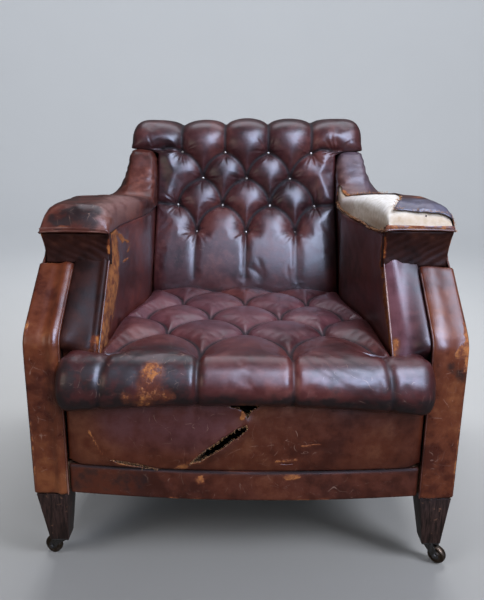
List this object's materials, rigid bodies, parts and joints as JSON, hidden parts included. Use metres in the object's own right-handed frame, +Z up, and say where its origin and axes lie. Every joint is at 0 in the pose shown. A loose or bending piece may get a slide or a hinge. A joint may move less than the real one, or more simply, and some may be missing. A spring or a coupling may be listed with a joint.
{
  "type": "club chair",
  "caption": "Low square club chair: deep-buttoned back and seat, rolled top, padded arms sweeping up into wings, leather-faced posts, short tapered legs on castors.",
  "frame": {"origin": "on the floor, under the middle of the chair's overall width and depth", "axes": "+X to the right of someone facing the chair, +Y from its front to its back, +Z up"},
  "size_m": [0.804, 0.8675, 0.852],
  "materials": {
    "oxblood_leather": "glossy, worn, cracked and scratched, with deep brown-red shading",
    "tan_brown_leather": "semi-gloss, rubbed to tan on its edges, torn on the seat border",
    "dark_leather": "semi-gloss, nearly black, with ochre rubbed edges",
    "calico_wadding": "matt cream cloth over wadding, soiled at the tear",
    "jute": "coarse plain weave",
    "black_cloth": "thin matt lining",
    "beech_frame": "bare sawn hardwood",
    "stained_leg": "dark stain, dull and scuffed",
    "castor_iron": "dull dark metal",
    "castor_pin": "dull",
    "castor_wheel": "dull, worn bright on the tread",
    "spring_steel": "coppered spring wire, dull"
  },
  "bodies": {
    "chair": {"arm_cover_left": "oxblood_leather", "arm_cover_right": "oxblood_leather", "arm_facing_left": "dark_leather", "arm_facing_right": "dark_leather", "arm_pad_left": "calico_wadding", "arm_pad_right": "calico_wadding", "arm_rail_left": "beech_frame", "arm_rail_right": "beech_frame", "back_left_castor_plate": "castor_iron", "back_leg_left": "stained_leg", "back_leg_right": "stained_leg", "back_rail": "beech_frame", "back_right_castor_plate": "castor_iron", "back_upright_left": "beech_frame", "back_upright_right": "beech_frame", "back_webbing": "jute", "dust_cover": "black_cloth", "front_left_castor_plate": "castor_iron", "front_leg_left": "stained_leg", "front_leg_right": "stained_leg", "front_rail": "beech_frame", "front_rail_cover": "tan_brown_leather", "front_right_castor_plate": "castor_iron", "inside_arm_left": "oxblood_leather", "inside_arm_right": "oxblood_leather", "outside_arm_left": "tan_brown_leather", "outside_arm_right": "tan_brown_leather", "outside_back": "tan_brown_leather", "post_facing_left": "tan_brown_leather", "post_facing_right": "tan_brown_leather", "seat_border": "tan_brown_leather", "seat_spring_11": "spring_steel", "seat_spring_12": "spring_steel", "seat_spring_13": "spring_steel", "seat_spring_21": "spring_steel", "seat_spring_22": "spring_steel", "seat_spring_23": "spring_steel", "seat_spring_31": "spring_steel", "seat_spring_32": "spring_steel", "seat_spring_33": "spring_steel", "seat_stuffing": "calico_wadding", "seat_webbing": "jute", "side_rail_left": "beech_frame", "side_rail_right": "beech_frame", "spring_hessian": "jute", "top_rail": "beech_frame", "tufted_back": "oxblood_leather", "tufted_seat": "oxblood_leather"},
    "front_left_swivel": {"front_left_castor_horn": "castor_iron", "front_left_castor_axle": "castor_pin"},
    "front_left_roller": {"front_left_castor_wheel": "castor_wheel"},
    "front_right_swivel": {"front_right_castor_horn": "castor_iron", "front_right_castor_axle": "castor_pin"},
    "front_right_roller": {"front_right_castor_wheel": "castor_wheel"},
    "back_left_swivel": {"back_left_castor_horn": "castor_iron", "back_left_castor_axle": "castor_pin"},
    "back_left_roller": {"back_left_castor_wheel": "castor_wheel"},
    "back_right_swivel": {"back_right_castor_horn": "castor_iron", "back_right_castor_axle": "castor_pin"},
    "back_right_roller": {"back_right_castor_wheel": "castor_wheel"}
  },
  "joints": [
    {"name": "front_left_castor_turn", "type": "hinge", "parent": "chair", "child": "front_left_swivel", "pos_m": [-0.3615, -0.3665, 0.041], "axis": [0, 0, 1], "continuous": true},
    {"name": "front_left_wheel_roll", "type": "hinge", "parent": "front_left_swivel", "child": "front_left_roller", "pos_m": [-0.38029, -0.35966, 0.01778], "axis": [-0.342, -0.9397, 0], "continuous": true},
    {"name": "front_right_castor_turn", "type": "hinge", "parent": "chair", "child": "front_right_swivel", "pos_m": [0.3695, -0.3665, 0.041], "axis": [0, 0, 1], "continuous": true},
    {"name": "front_right_wheel_roll", "type": "hinge", "parent": "front_right_swivel", "child": "front_right_roller", "pos_m": [0.38482, -0.37936, 0.01778], "axis": [0.6428, 0.766, 0], "continuous": true},
    {"name": "back_left_castor_turn", "type": "hinge", "parent": "chair", "child": "back_left_swivel", "pos_m": [-0.3615, 0.3595, 0.041], "axis": [0, 0, 1], "continuous": true},
    {"name": "back_left_wheel_roll", "type": "hinge", "parent": "back_left_swivel", "child": "back_left_roller", "pos_m": [-0.35401, 0.37804, 0.01778], "axis": [-0.9272, 0.3746, 0], "continuous": true},
    {"name": "back_right_castor_turn", "type": "hinge", "parent": "chair", "child": "back_right_swivel", "pos_m": [0.3695, 0.3595, 0.041], "axis": [0, 0, 1], "continuous": true},
    {"name": "back_right_wheel_roll", "type": "hinge", "parent": "back_right_swivel", "child": "back_right_roller", "pos_m": [0.36201, 0.37804, 0.01778], "axis": [-0.9272, -0.3746, 0], "continuous": true}
  ]
}
